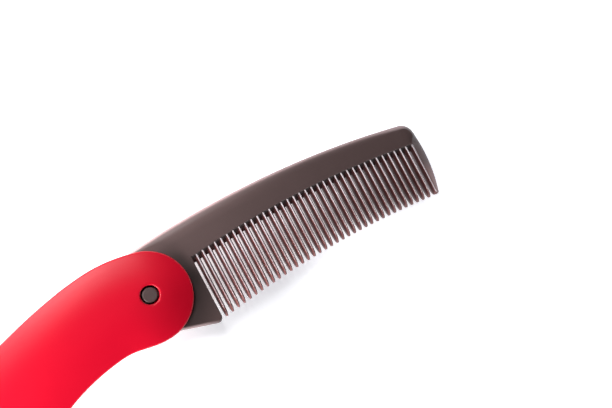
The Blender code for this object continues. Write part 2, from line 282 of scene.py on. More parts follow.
def softbox(name, azimuth, elevation, distance, side, watts, colour):
    """A lit square panel at a distance from the handle's round end, which it faces."""
    data = bpy.data.lights.new(name, "AREA")
    data.shape = "RECTANGLE"
    data.size = data.size_y = side
    data.energy = watts
    data.color = colour
    lamp = bpy.data.objects.new(name, data)
    bpy.context.scene.collection.objects.link(lamp)
    level, height = polar((0, 0), distance, elevation)
    lamp.location = (*polar(AIM, level, azimuth), height)
    lamp.rotation_euler = (AIM - lamp.location).to_track_quat("-Z", "Y").to_euler()
    lamp.visible_camera = False


softbox("low_key", 150, 15, 0.12, 0.05, 0.09, WARM)
softbox("back_key", 135, 30, 0.14, 0.08, 0.04, WARM)
softbox("crest_panel", 115, 20, 0.15, 0.07, 0.062, WARM)
softbox("spine_softbox", 100, 50, 0.25, 0.12, 0.453, PLAIN)
softbox("belly_fill", 212, 20, 0.11, 0.05, 0.15, WARM)
softbox("side_panel", 198, 15, 0.15, 0.06, 0.19, PLAIN)

# %% [markdown]
# ## The room
#
# White walls stand low all round and draw the pale rims, while the dark ceiling keeps the level
# faces deep in colour.
# Planes could stand there as walls. The world's own glow does the same with nothing to model:
# it is read from the direction alone, bright near the horizon and dark above it. It is stronger
# on the right than on the left, where the low softboxes already stand.
# %% Build the white room
WALL_WHITE = (0.95, 0.97, 1.0)
WALL_GLOW = 2.7
WALL_LEAN = 1.0
WALL_TOP = 0.3
room = bpy.data.worlds.new("white_room")
bench = Bench(room)
towards = bench.node("ShaderNodeTexCoord", {}, {}, "Generated")
height = bench.axis(towards, "Z")
sideways = bench.axis(towards, "X")
glow = (1 - bench.fade(height, 0, WALL_TOP)) * (WALL_GLOW + sideways * WALL_LEAN)
bench.feed(bench.tree.nodes["Background"], {"Color": WALL_WHITE, "Strength": glow})
bpy.context.scene.world = room
print("walls glow up to", round(math.degrees(math.asin(WALL_TOP))), "degrees")

# %% [markdown]
# ## Skins over drawn outlines
#
# Every moulding here is a run of closed outlines with a skin over them: levels of the comb's
# body, slices of a tooth, the plan of a handle shell.
# Each outline starts as a circle primitive whose points are laid on the drawn curve, and
# Bridge Edge Loops closes the skin from one outline to the next.
# Drawing the curves from arcs keeps the edges true at any closeness, which pushing points about
# by eye would not.
# %% Lay outlines and bridge them
def pick(first, last):
    """Select a run of points of the piece in edit mode by their numbers."""
    mesh = bpy.context.object.data
    bpy.ops.mesh.select_all(action="DESELECT")
    bm = bmesh.from_edit_mesh(mesh)
    bm.verts.ensure_lookup_table()
    for vertex in bm.verts[first:last]:
        vertex.select = True
    bm.select_flush(True)
    bmesh.update_edit_mesh(mesh)


def lay_ring(points):
    """Add a circle in edit mode and lay its points on an outline."""
    bpy.ops.mesh.select_all(action="DESELECT")
    bpy.ops.mesh.primitive_circle_add(vertices=len(points), radius=MM)
    mesh = bpy.context.object.data
    bm = bmesh.from_edit_mesh(mesh)
    for vertex, point in zip([v for v in bm.verts if v.select], points):
        vertex.co = point
    bmesh.update_edit_mesh(mesh)


def skin(name, rings, closed=True):
    """A piece through a run of outlines with the same number of points."""
    bpy.ops.object.select_all(action="DESELECT")
    bpy.ops.object.add(type="MESH")
    piece = bpy.context.object
    piece.name = piece.data.name = name
    count = len(rings[0])
    bpy.ops.object.mode_set(mode="EDIT")
    for i, ring in enumerate(rings):
        lay_ring(ring)
        if i:
            pick((i - 1) * count, (i + 1) * count)
            bpy.ops.mesh.bridge_edge_loops()
    caps = (0, len(rings) - 1) if closed else (len(rings) - 1,)
    for i in caps:
        pick(i * count, (i + 1) * count)
        bpy.ops.mesh.edge_face_add()
    bpy.ops.mesh.select_all(action="SELECT")
    bpy.ops.mesh.normals_make_consistent(inside=False)
    bpy.ops.object.mode_set(mode="OBJECT")
    return piece


print("outlines can be laid and skinned")

# %% [markdown]
# Pieces are drawn about the pivot with their middle plane at zero, where the sums are short.
# Booleans join and cut them there, and leave slivers that are dissolved at once. Last of all a
# piece is lifted to its place, which is then applied, so that its object sits at the origin.
# %% Join, cut and settle pieces
SLIVER = 0.0005 * MM
MID_HEIGHT = 4.6 * MM
SMOOTH_DEG = 32


def only(piece):
    """Select one piece and make it the active one."""
    bpy.ops.object.select_all(action="DESELECT")
    piece.select_set(True)
    bpy.context.view_layer.objects.active = piece


def on_all(operator, **settings):
    """Run an edit mode operator on the whole of the active piece."""
    bpy.ops.object.mode_set(mode="EDIT")
    bpy.ops.mesh.select_all(action="SELECT")
    operator(**settings)
    bpy.ops.object.mode_set(mode="OBJECT")


def combine(piece, other, operation):
    """Join or cut a piece with another one, which is used up."""
    only(piece)
    modifier = piece.modifiers.new("combine", "BOOLEAN")
    modifier.object = other
    modifier.operation = operation
    modifier.solver = "EXACT"
    bpy.ops.object.modifier_apply(modifier=modifier.name)
    bpy.data.objects.remove(other, do_unlink=True)
    on_all(bpy.ops.mesh.dissolve_degenerate, threshold=SLIVER)


def settle(piece):
    """Put a piece that was drawn about the pivot in its place, and smooth its shading."""
    only(piece)
    piece.location = (pivot.x, pivot.y, MID_HEIGHT)
    bpy.ops.object.transform_apply(location=True, rotation=True, scale=True)
    bpy.ops.object.shade_smooth_by_angle(angle=math.radians(SMOOTH_DEG))
    print(piece.name, len(piece.data.polygons), "faces,", in_mm(piece.dimensions), "mm")


print("pieces settle with their middle plane", round(MID_HEIGHT / MM, 2), "mm above the table")

# %% [markdown]
# ## Points on an arc
#
# A few lines turn an arc into points, into a height at a place, and into the round corner
# between the end and the spine, which touches both arcs from inside.
# %% Draw with a compass
def arc(centre, radius, start, end, count):
    """Points of a circle from one angle to another, both ends included."""
    return [polar(centre, radius, start + (end - start) * i / (count - 1)) for i in range(count)]


def arc_y(circle, x):
    """Height of the upper half of a circle at x."""
    centre, radius = circle
    return centre[1] + math.sqrt(radius ** 2 - (x - centre[0]) ** 2)


def angle_of(centre, point):
    """Angle in degrees from a centre to a point."""
    return math.degrees(math.atan2(point[1] - centre[1], point[0] - centre[0]))


CORNER_RADIUS = 4.0 * MM


def corner_centre():
    """Centre of the circle that touches the end and the spine from inside."""
    reach_end, reach_spine = END[1] - CORNER_RADIUS, SPINE[1] - CORNER_RADIUS
    start = Vector(END[0])
    across = Vector(SPINE[0]) - start
    gap = across.length
    along = (reach_end ** 2 - reach_spine ** 2 + gap ** 2) / (2 * gap)
    side = math.sqrt(reach_end ** 2 - along ** 2)
    direction = across / gap
    return tuple(start + direction * along + Vector((-direction.y, direction.x)) * side)


CORNER = (corner_centre(), CORNER_RADIUS)
print("spine corner centred at", in_mm(CORNER[0]), "mm")

# %% [markdown]
# ## The comb's body
#
# Spine, heel guard, pivot disc and end guard are one moulding, 3.75 mm thick.
# Its edge rolls over in a long soft curve, which is what catches the pale rim of light.
# Between the teeth the spine ends in a wedge, and the end guard has a long outer slope.
# It could be a flat slab with its edges bevelled, but those three profiles differ, so the body
# is drawn level by level from the middle plane to the face and mirrored for the lower half.
# %% Roll an edge over
COMB_THICK = 3.75 * MM
HALF = COMB_THICK / 2
EDGE_RISE = 1.45 * MM
SPINE_ROLL = 2.4 * MM
HEEL_ROLL = 1.0 * MM
CORNER_ROLL = 1.25 * MM


def roll(height, reach):
    """How far an edge has rolled in at a height: nothing below, level with the face above."""
    rise = max(0.0, (height - HALF + EDGE_RISE) / EDGE_RISE)
    return reach * (1 - math.sqrt(max(0.0, 1 - rise * rise)))


def blend(low, high, share):
    """A value between two others, with a soft start and end."""
    share = min(1.0, max(0.0, share))
    return low + (high - low) * share * share * (3 - 2 * share)


print("the spine rolls in by", in_mm(roll(HALF * i / 4, SPINE_ROLL) for i in range(5)), "mm")

# %% [markdown]
# The heel guard is the broad tooth beside the handle. It is drawn together with the pivot disc,
# because the disc's edge runs straight on into the guard's lower edge.
# %% Draw the heel guard
DISC_RADIUS = 10.6 * MM
HEEL_DEG = 102.7
GUARD_BOTTOM_DEG = 253.0
GUARD_DROP = 0.2 * MM
GUARD_RIGHT_X = 13.9 * MM
GUARD_CORNER = 1.3 * MM
ROOT_RAMP = 2.0 * MM
DISC_POINTS, CORNER_POINTS, SIDE_POINTS = 44, 12, 8


def heel_guard_level(height, draft):
    """Pivot disc, lower edge and inner corner of the heel guard."""
    edge = roll(height, HEEL_ROLL)
    disc = arc((0, 0), DISC_RADIUS - edge, HEEL_DEG, GUARD_BOTTOM_DEG, DISC_POINTS)
    down = Vector(polar((0, 0), 1, GUARD_BOTTOM_DEG))
    corner_x = GUARD_RIGHT_X - GUARD_CORNER
    corner_y = (DISC_RADIUS + GUARD_DROP - GUARD_CORNER - down.x * corner_x) / down.y
    corner = []
    for i in range(CORNER_POINTS):
        turn = i / (CORNER_POINTS - 1)
        radius = GUARD_CORNER + draft * turn - edge * (1 - turn)
        corner.append(polar((corner_x, corner_y), radius,
                            GUARD_BOTTOM_DEG + (360 - GUARD_BOTTOM_DEG) * turn))
    right_x = GUARD_RIGHT_X + draft
    top = arc_y(ROOT, right_x) - ROOT_RAMP
    side = [(right_x, corner_y + (top - corner_y) * i / SIDE_POINTS)
            for i in range(1, SIDE_POINTS)]
    return disc + corner + side


print("heel guard of", len(heel_guard_level(0, 0)), "points")

# %% [markdown]
# Towards the far end the teeth and the end guard's inner flank fan out a little, as the pale
# ridge lines in the photograph do.
# %% Let the row fan out
GUARD_RIDGE_X = 84.03 * MM
FAN = 0.33
FAN_DEPTH = 10 * MM


def fanned(x, y):
    """How far to the end a place has drifted, because the teeth fan out a little."""
    depth = min(max(0.0, arc_y(ROOT, x) - y), FAN_DEPTH)
    return FAN * depth * (x - GUARD_RIGHT_X)


print("the far end drifts by", in_mm([FAN * FAN_DEPTH * (GUARD_RIDGE_X - GUARD_RIGHT_X)]), "mm")

# %% [markdown]
# The end guard is a ridge like a tooth's, from which the outer side slopes down to the edge of
# the comb in one long curve. Only its inner flank is shaped like half a tooth.
# %% Slope the outer side of the end guard
END_SLOPE = 3.0 * MM
SLOPE_FROM = 0.12
SLOPE_CURVE = 1.25
SLOPE_STEPS = 45


def slope_share(share):
    """How far in the end's long slope has come at a share of the height from middle to face."""
    return max(0.0, (share - SLOPE_FROM) / (1 - SLOPE_FROM)) ** SLOPE_CURVE


def end_slope_level(share, ridge_x, root_y, low):
    """Outer slope of the end guard, from an angle by its tip up to the spine's corner."""
    slope = END_SLOPE * slope_share(share)
    high = angle_of(END[0], CORNER[0])
    outer = []
    for i in range(SLOPE_STEPS + 1):
        y = END[0][1] + END[1] * math.sin(math.radians(low + (high - low) * i / SLOPE_STEPS))
        widest = END[0][0] + math.sqrt(END[1] ** 2 - (y - END[0][1]) ** 2)
        ridge_there = ridge_x + fanned(ridge_x, y)
        if y < root_y:
            along = (widest - ridge_there) * slope_share(share)
        else:
            along = blend(slope, CORNER_ROLL * share ** 2, (y - root_y) / (CORNER[0][1] - root_y))
            along = min(along, widest - ridge_there) if y < root_y + MM else along
        outer.append((widest - along, y))
    return outer


print("the slope comes in by", in_mm(END_SLOPE * slope_share(i / 4) for i in range(5)), "mm")

# %% Draw the end guard
RIDGE_RADIUS = 0.23 * MM
RIDGE_HALF = RIDGE_RADIUS * 0.9
TOOTH_HALF = 0.58 * MM
TIP_ROLL = 0.9 * MM
TIP_INNER, TIP_OUTER = 0.5 * MM, 0.55 * MM
TIP_CURVE = ((0.12, 0.16), (0.35, 0.02), (0.65, 0.02), (0.88, 0.18))  # share across, mm up
FLANK_STEPS = 20


def end_guard_level(share):
    """Inner flank, tip and outer slope of the end guard."""
    inner_x = GUARD_RIDGE_X - RIDGE_HALF - (TOOTH_HALF - RIDGE_RADIUS) * (1 - share)
    root_y = arc_y(ROOT, inner_x) - ROOT_RAMP * (1 - share)
    tip_y = arc_y(TIP, GUARD_RIDGE_X) + TIP_ROLL * share ** 3
    inner = []
    for i in range(FLANK_STEPS + 1):
        y = root_y + (tip_y + TIP_INNER - root_y) * i / FLANK_STEPS
        inner.append((inner_x + fanned(inner_x, y), y))
    low = math.degrees(math.asin((tip_y + TIP_OUTER - END[0][1]) / END[1]))
    outer = end_slope_level(share, GUARD_RIDGE_X + RIDGE_HALF, root_y, low)
    width = outer[0][0] - inner[-1][0]
    tip = [(inner[-1][0] + width * across, tip_y + rise * MM) for across, rise in TIP_CURVE]
    return inner, tip, outer


print("end guard of", [len(part) for part in end_guard_level(0)], "points")

# %% [markdown]
# One level goes once round the comb: heel guard, roots of the teeth, end guard, spine, and back
# to the pivot disc. Every level has the same number of points, so that the skin runs straight up.
# %% Draw a whole level
HEEL_RADIUS = 11.45 * MM
HEEL_TOP_DEG = 84
SPINE_START_X = MM
ROOT_STEPS, TURN_POINTS, SPINE_STEPS, HEEL_POINTS = 60, 16, 90, 8
CORNER_SETTLES, HEEL_SETTLES = 14, 12


def body_level(height):
    """The body's outline at a height above its middle plane, without the teeth."""
    share = height / HALF
    draft = (TOOTH_HALF - RIDGE_RADIUS) * (1 - share)
    heel = heel_guard_level(height, draft)
    inner, tip, outer = end_guard_level(share)
    start_x, end_x = GUARD_RIGHT_X + draft, inner[0][0]
    root = []
    for i in range(ROOT_STEPS):
        x = start_x + (end_x - start_x) * i / ROOT_STEPS
        root.append((x, arc_y(ROOT, x) - ROOT_RAMP * (1 - share)))
    turn_from, turn_to = angle_of(END[0], CORNER[0]), angle_of(SPINE[0], CORNER[0])
    corner_in = CORNER_ROLL * share ** 2
    corner = arc(CORNER[0], CORNER[1] - corner_in, turn_from, turn_to, TURN_POINTS)[1:]
    heel_from = math.degrees(math.acos((SPINE_START_X - SPINE[0][0]) / SPINE[1]))
    spine = []
    for i in range(1, SPINE_STEPS + 1):
        edge = blend(corner_in, roll(height, SPINE_ROLL), i / CORNER_SETTLES)
        edge = blend(edge, roll(height, HEEL_ROLL), (i - SPINE_STEPS + HEEL_SETTLES) / HEEL_SETTLES)
        degrees = turn_to + (heel_from - turn_to) * i / SPINE_STEPS
        spine.append(polar(SPINE[0], SPINE[1] - edge, degrees))
    heel_top = arc((0, 0), HEEL_RADIUS - roll(height, HEEL_ROLL), HEEL_TOP_DEG, HEEL_DEG,
                   HEEL_POINTS)[1:]
    loop = heel + root + inner + tip + outer + corner + spine + heel_top
    return [(x, y, height) for x, y in loop]


print("one level of", len(body_level(0)), "points")

# %% [markdown]
# The upper half is skinned from the middle plane up and capped at the face. The Mirror modifier
# makes the lower half from it, so that both faces of the comb are alike.
# %% Skin the upper half and mirror it
ROLL_STEPS = 7
SECOND_LEVEL = 0.2 * MM
WELD = 0.001 * MM
heights = [0, SECOND_LEVEL]
heights += [HALF - EDGE_RISE * (1 - math.sin(math.radians(90 * i / ROLL_STEPS)))
            for i in range(ROLL_STEPS + 1)]
comb = skin("comb_moulding", [body_level(height) for height in heights], closed=False)
on_all(bpy.ops.mesh.quads_convert_to_tris, ngon_method="BEAUTY")
mirror = comb.modifiers.new("lower_half", "MIRROR")
mirror.use_axis = (False, False, True)
mirror.merge_threshold = WELD
bpy.ops.object.modifier_apply(modifier=mirror.name)
on_all(bpy.ops.mesh.normals_make_consistent, inside=False)
print("body skin over", len(heights), "levels,", len(comb.data.vertices), "points")

# %% [markdown]
# The end guard gets a little thinner towards its tip, as the teeth do, so that the comb slides
# into hair.
# Levels can't taper along the guard, so its points are moved towards the middle plane afterwards.
# %% Thin the end guard towards its tip
TAPER = 0.004
squeezed = 0
for vertex in comb.data.vertices:
    below = arc_y(ROOT, GUARD_RIDGE_X) - vertex.co.y
    if vertex.co.x > GUARD_RIDGE_X - MM and below > 0:
        vertex.co.z *= 1 - TAPER * below / HALF
        squeezed += 1
print("squeezed", squeezed, "points of the end guard")

# %% [markdown]
# ## The teeth
#
# Thirty-six teeth of one section stand side by side: a narrow rounded ridge on each face, and
# drafted flanks between them so that the moulding leaves its mould.
# They could be an array of boxes, but then no ridge would catch the light as the real ones do.
# One tooth is skinned over slices along its length and rounded at its tip, and every other
# tooth is a copy of it.
# %% Model the master tooth
MASTER_LENGTH = 17.4 * MM
BURIED, BURIED_DROP = 1.2 * MM, 0.08
FACE_STEP = 0.02 * MM
RIDGE_STEPS = 8
RIDGE_LEAN = 75
WAIST = 0.5
TIP_NARROWS = 0.14
NOSE_FROM, NOSE_RUN = 0.8, 0.203
NOSE_WIDE, NOSE_HIGH = 0.35, 0.2
SLICES = (0.0, 0.2, 0.4, 0.6, 0.8, 0.85, 0.9, 0.94, 0.97, 0.99, 1.0)


def tooth_slice(y, wide, high):
    """One section of the tooth: a rounded ridge above and below, flanks and upright sides."""
    radius = RIDGE_RADIUS * wide ** 2
    flank = TOOTH_HALF * wide
    ridge = arc((0, high - radius), radius, 90 - RIDGE_LEAN, 90 + RIDGE_LEAN, RIDGE_STEPS + 1)
    waist = WAIST * high
    points = [(flank, waist)] + ridge + [(-flank, waist)]
    points += [(-x, -z) for x, z in points]
    return [(x, y, z) for x, z in points]


slices = [tooth_slice(BURIED, 1.0, HALF - FACE_STEP - BURIED * BURIED_DROP)]
for where in SLICES:
    run = MASTER_LENGTH * where
    nose = math.sqrt(max(0.0, 1 - max(0.0, (where - NOSE_FROM) / NOSE_RUN) ** 2))
    wide = (1 - TIP_NARROWS * where) * (NOSE_WIDE + (1 - NOSE_WIDE) * nose)
    high = (HALF - FACE_STEP - TAPER * run) * (NOSE_HIGH + (1 - NOSE_HIGH) * nose)
    slices.append(tooth_slice(-run, wide, high))
tooth = skin("tooth", slices)
print("master tooth", in_mm(tooth.dimensions), "mm")

# %% [markdown]
# The teeth stand at an even pitch. An Array modifier would repeat them too, but each has its own
# length: it is stretched from the arc of the roots to the arc of the tips.
# Joined to one row, they then fan out like the end guard's flank.
# %% Copy the tooth along the comb
TOOTH_COUNT = 36
FIRST_TOOTH_X = 15.49 * MM
TOOTH_PITCH = 1.9 * MM
teeth = []
for i in range(TOOTH_COUNT):
    x = FIRST_TOOTH_X + i * TOOTH_PITCH
    root_y = arc_y(ROOT, x)
    only(tooth)
    bpy.ops.object.duplicate(linked=False)
    copy = bpy.context.object
    copy.scale.y = (root_y - arc_y(TIP, x)) / MASTER_LENGTH
    copy.location = (x, root_y, 0)
    teeth.append(copy)
bpy.data.objects.remove(tooth, do_unlink=True)
bpy.ops.object.select_all(action="DESELECT")
for copy in teeth:
    copy.select_set(True)
bpy.context.view_layer.objects.active = teeth[0]
bpy.ops.object.join()
teeth = bpy.context.object
bpy.ops.object.transform_apply(location=True, rotation=True, scale=True)
for vertex in teeth.data.vertices:
    vertex.co.x += fanned(vertex.co.x, vertex.co.y)
print("row of teeth", in_mm(teeth.dimensions), "mm")

# %% [markdown]
# Teeth and body are one moulding, so they are united. Each tooth starts a little way inside the
# spine, so that no faces lie on each other. The bore for the pin is cut last.
# %% Join the teeth to the body and bore it for the pin
BORE_RADIUS = 3.5 * MM
combine(comb, teeth, "UNION")
bpy.ops.mesh.primitive_cylinder_add(vertices=64, radius=BORE_RADIUS, depth=3 * COMB_THICK)
combine(comb, bpy.context.object, "DIFFERENCE")
settle(comb)
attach(comb, "comb")
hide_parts("comb_blade")

# %% [markdown]
# ## The handle's outline
#
# The handle is one curved shape: a round end about the pivot, a shallow finger notch below it,
# and a long bowed back that ends in a soft butt.
# The photograph's edge hides the butt, so it is finished plainly.
# A Bezier curve object could draw it by hand. Here a smooth curve is worked out through a few
# measured points, because its points are needed again for the slot and the crown.
# Both shells are cut from the same outline, so they meet all round the parting line.
# %% Pass a smooth curve through points
OUTLINE_SPACING = 0.85 * MM


def smooth_loop(anchors, spacing):
    """A closed curve through the anchors, cut into even steps."""
    points = [Vector(anchor) for anchor in anchors]
    count = len(points)
    spans = [(points[(i + 1) % count] - points[i]).length for i in range(count)]
    slopes = []
    for i in range(count):
        before = (points[i] - points[i - 1]) / spans[i - 1]
        after = (points[(i + 1) % count] - points[i]) / spans[i]
        slopes.append((before * spans[i] + after * spans[i - 1]) / (spans[i] + spans[i - 1]))
    loop = []
    for i in range(count):
        start, end = points[i], points[(i + 1) % count]
        steps = max(1, round(spans[i] / spacing))
        for step in range(steps):
            t = step / steps
            loop.append((2 * t ** 3 - 3 * t ** 2 + 1) * start
                        + (t ** 3 - 2 * t ** 2 + t) * spans[i] * slopes[i]
                        + (3 * t ** 2 - 2 * t ** 3) * end
                        + (t ** 3 - t ** 2) * spans[i] * slopes[(i + 1) % count])
    return loop


print("curve points every", round(OUTLINE_SPACING / MM, 2), "mm")

# %% Follow the back past the crest
CREST = [(-34.55 * MM, 6.95 * MM), (-28.6 * MM, 8.8 * MM), (-22.5 * MM, 10.37 * MM),
         (-16.3 * MM, 11.65 * MM), (-9.5 * MM, 12.38 * MM), (-2.95 * MM, 12.02 * MM)]
BACK_START_DEG = 18.2
BACK_RADIUS = 350.0 * MM
BACK_LENGTH = 53.8 * MM


def back_frame(distance):
    """A point of the handle's back past the crest, and the direction across the handle there."""
    first = math.radians(BACK_START_DEG)
    turn = first + distance / BACK_RADIUS
    across_first = Vector((math.sin(first), -math.cos(first)))
    across = Vector((math.sin(turn), -math.cos(turn)))
    centre = Vector(CREST[0]) + across_first * BACK_RADIUS
    return centre - across * BACK_RADIUS, across


print("the back ends at", in_mm(back_frame(BACK_LENGTH)[0]), "mm")

# %% Draw the handle's outline
ROUND = ((-0.87 * MM, -0.45 * MM), 11.86 * MM)
ROUND_DEG = (-92, 62)
NOTCH = ((-7.8 * MM, -63.5 * MM), 52.67 * MM)
NOTCH_DEG = (111.0, 94.5)
BACK_STEPS = 6
BODY_WIDTH = 22.65 * MM
BELLY = 1.7 * MM
BELLY_LENGTH = 44.0 * MM
BUTT_DEPTH = 9.8 * MM
BUTT_FULLNESS = 2.3
BUTT_STEPS = 8


def handle_outline():
    """The handle's edge, anticlockwise from the crest over the back to the round end."""
    back, belly = [], []
    for i in range(1, BACK_STEPS + 1):
        distance = BACK_LENGTH * i / BACK_STEPS
        point, across = back_frame(distance)
        width = BODY_WIDTH + BELLY * math.sin(math.pi * distance / BELLY_LENGTH)
        back.append(point)
        belly.append(point + across * width)
    middle = (back[-1] + belly[-1]) / 2
    half = (belly[-1] - back[-1]) / 2
    along = Vector((half.y, -half.x)).normalized() * BUTT_DEPTH
    butt = []
    for i in range(1, BUTT_STEPS):
        angle = math.pi * i / BUTT_STEPS
        side = math.copysign(abs(math.cos(angle)) ** (2 / BUTT_FULLNESS), math.cos(angle))
        butt.append(middle - half * side + along * math.sin(angle) ** (2 / BUTT_FULLNESS))
    notch = arc(*NOTCH, *NOTCH_DEG, 5)
    round_end = arc(*ROUND, *ROUND_DEG, 15)
    anchors = CREST[::-1] + back + butt + belly[::-1] + notch + round_end
    return smooth_loop(anchors, OUTLINE_SPACING)


outline = handle_outline()
print("handle outline of", len(outline), "points")

# %% [markdown]
# ## The slot
#
# The comb folds into a slot between the shells. It is closed along the back and round the butt
# by a wall, and open along the lower edge and at the round end.
# The wall stops a little before the handle's lowest point, so that the comb's end, which reaches
# furthest from the pivot, can swing past it.
# %% Draw the slot
BACK_WALL = 1.2 * MM
WALL_FRONT_DEG = 105.0
WALL_STOPS_SHORT = 3
MOUTH_REACH = 6.0 * MM


def inward(plan, i):
    """The direction straight in from a point of an outline."""
    run = plan[(i + 1) % len(plan)] - plan[i - 1]
    return Vector((-run.y, run.x)).normalized()


def slot_outline():
    """Plan of the slot: a wall's thickness inside the back and butt, and open past the rest."""
    front = min(range(len(outline)),
                key=lambda i: abs(angle_of((0, 0), outline[i]) - WALL_FRONT_DEG))
    last = max(range(len(outline)), key=lambda i: -outline[i].y) - WALL_STOPS_SHORT
    return [point + inward(outline, i) * (BACK_WALL if front <= i < last else -MOUTH_REACH)
            for i, point in enumerate(outline)]


slot = slot_outline()
print("slot plan of", len(slot), "points")

# %% [markdown]
# ## The shells
#
# Each shell is a plate with half of the back wall under it and a crowned face.
# The crown is a very shallow dome: it is steepest just inside the edge and level along the
# middle, and it is why the red changes slowly from the upper left to the lower right.
# Insets would cross over in the tight butt. Here each point of the outline travels straight in,
# only as far as the middle, and its height is read from how far it lies from the edge.
# %% Shape the crown
EDGE_RADIUS = 0.6 * MM
TOP_CROWN = (1.3 * MM, 9.4 * MM, 15)  # rise, reach and rings
BOTTOM_CROWN = (0.25 * MM, 3.6 * MM, 6)


def crown_height(depth, rise, reach):
    """Height over the upright side at a distance in from the edge: a rounded rim, then a dome."""
    slope = math.atan(2 * rise / reach)
    rim_in = EDGE_RADIUS * (1 - math.sin(slope))
    if depth < rim_in:
        return EDGE_RADIUS * math.sin(math.acos(1 - depth / EDGE_RADIUS))
    share = min(1.0, (depth - rim_in) / reach)
    return EDGE_RADIUS * math.cos(slope) + rise * (1 - (1 - share) ** 2)


print("the dome rises by", in_mm(crown_height(depth * MM, *TOP_CROWN[:2])
                                 for depth in (0, 1, 3, 6, 10)), "mm over the side")

# %% Find the way in from the edge
EDGE_SPLITS = 8
PATH_STEP = 0.1 * MM
NEIGHBOURS = 4


def edge_tree(plan):
    """A search tree that gives the distance from any place to the outline."""
    edge = KDTree(len(plan) * EDGE_SPLITS)
    for i, point in enumerate(plan):
        for j in range(EDGE_SPLITS):
            between = point.lerp(plan[(i + 1) % len(plan)], j / EDGE_SPLITS)
            edge.insert((between.x, between.y, 0), i * EDGE_SPLITS + j)
    edge.balance()
    return edge


def paths_in(plan, edge):
    """For each outline point, its way in and how far it may go before the far side is as near."""
    ways = []
    for i, point in enumerate(plan):
        way = inward(plan, i)
        depth = 2 * EDGE_RADIUS
        while (edge.find((*(point + way * (depth + PATH_STEP)), 0))[2]
               > depth + PATH_STEP / 2):
            depth += PATH_STEP
        ways.append((way, depth))
    return [(way, min(ways[(i + j) % len(ways)][1] for j in range(-NEIGHBOURS, NEIGHBOURS + 1)))
            for i, (way, _) in enumerate(ways)]


print("each way in is followed in steps of", round(PATH_STEP / MM, 2), "mm")

# %% Draw the rings of the crown
HANDLE_HALF = 4.6 * MM
PARTING = 0.15 * MM
RIM_RINGS = 6
INWARD = 0.9
PAST_REACH = 0.4 * MM


def crown_rings(plan, rise, reach, steps):
    """Outlines from the parting face up the side, over the rim and up the dome."""
    edge = edge_tree(plan)
    side_top = HANDLE_HALF - crown_height(EDGE_RADIUS + reach, rise, reach)
    ways = paths_in(plan, edge)
    rings = [[(point.x, point.y, height) for point in plan] for height in (PARTING, side_top)]
    turns = [EDGE_RADIUS * (1 - math.cos(math.radians(90 * i / RIM_RINGS)))
             for i in range(1, RIM_RINGS + 1)]
    shares = [0] * RIM_RINGS + [i / steps for i in range(1, steps + 1)]
    for turn, share in zip(turns + [EDGE_RADIUS] * steps, shares):
        ring = [point + way * (turn + share * min(INWARD * depth - EDGE_RADIUS,
                                                  reach + PAST_REACH))
                for point, (way, depth) in zip(plan, ways)]
        rings.append([(point.x, point.y, side_top + crown_height(
            edge.find((point.x, point.y, 0))[2], rise, reach)) for point in ring])
    return rings


print("the upper crown has", RIM_RINGS + TOP_CROWN[2], "rings over its side")

# %% [markdown]
# The slot is cut from the finished shell, and the pin's hole with a flared cutter that leaves a
# rounded rim. A bevel would have to follow the hole across the rings of the crown, and tears
# there.
# %% Shape the cutter for the pin's hole
PIN_HOLE_RADIUS = 2.42 * MM
PIN_HOLE_ROUND = 0.45 * MM
CUTTER_DEPTH = 20 * MM
CUTTER_POINTS = 96
FLARE_DEG = (*range(0, 81, 10), 86)
FLARE_RISE = 0.05 * MM


def cutter_profile():
    """Heights and radii from deep under the shell to where the cutter flares out above it."""
    profile = [(-CUTTER_DEPTH, PIN_HOLE_RADIUS)]
    for degrees in FLARE_DEG:
        angle = math.radians(degrees)
        profile.append((HANDLE_HALF - PIN_HOLE_ROUND * (1 - math.sin(angle)),
                        PIN_HOLE_RADIUS + PIN_HOLE_ROUND * (1 - math.cos(angle))))
    height, radius = profile[-1]
    spread = FLARE_RISE / math.tan(math.radians(90 - FLARE_DEG[-1]))
    return profile + [(height + FLARE_RISE, radius + spread)]


def hole_cutter():
    """A round plug of that profile."""
    return skin("hole_cutter", [
        [(x, y, height) for x, y in arc((0, 0), radius, 0, 360, CUTTER_POINTS + 1)[:-1]]
        for height, radius in cutter_profile()])


print("the hole opens to a radius of", round(cutter_profile()[-2][1] / MM, 2), "mm at the face")

# %% [markdown]
# Both shells are modelled face up by the same lines. The lower one is drawn from the outline
# turned over and is then rolled onto its face, so that its edge meets the upper one's.
# %% Model both shells with their faces up
SLOT_HALF = 2.4 * MM
SLOT_START = -MM
SMOOTH_FROM_RING = 10


def shell(name, plan, slot_plan, crown):
    """One shell with its outer face up, about the pivot, its parting face just above zero."""
    rings = crown_rings(plan, *crown)
    piece = skin(name, rings)
    bpy.ops.object.mode_set(mode="EDIT")
    pick(len(plan) * (len(rings) - 1), len(plan) * len(rings))
    bpy.ops.mesh.quads_convert_to_tris(ngon_method="BEAUTY")
    pick(len(plan) * SMOOTH_FROM_RING, len(plan) * (len(rings) - 1))
    bpy.ops.mesh.vertices_smooth(factor=0.5, repeat=12, xaxis=False, yaxis=False, zaxis=True)
    bpy.ops.object.mode_set(mode="OBJECT")
    combine(piece, skin(name + "_slot", [[(point.x, point.y, height) for point in slot_plan]
                                         for height in (SLOT_START, SLOT_HALF)]), "DIFFERENCE")
    combine(piece, hole_cutter(), "DIFFERENCE")
    return piece


def turned_over(plan):
    """The plan as it looks from below, with its points in the same turning sense."""
    return [Vector((point.x, -point.y)) for point in reversed(plan)]


upper = shell("upper_shell", outline, slot, TOP_CROWN)
settle(upper)
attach(upper, "handle")
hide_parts("handle_top")

lower = shell("lower_shell", turned_over(outline), turned_over(slot), BOTTOM_CROWN)
lower.rotation_euler.x = math.pi
settle(lower)
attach(lower, "handle")
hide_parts("handle_bottom")
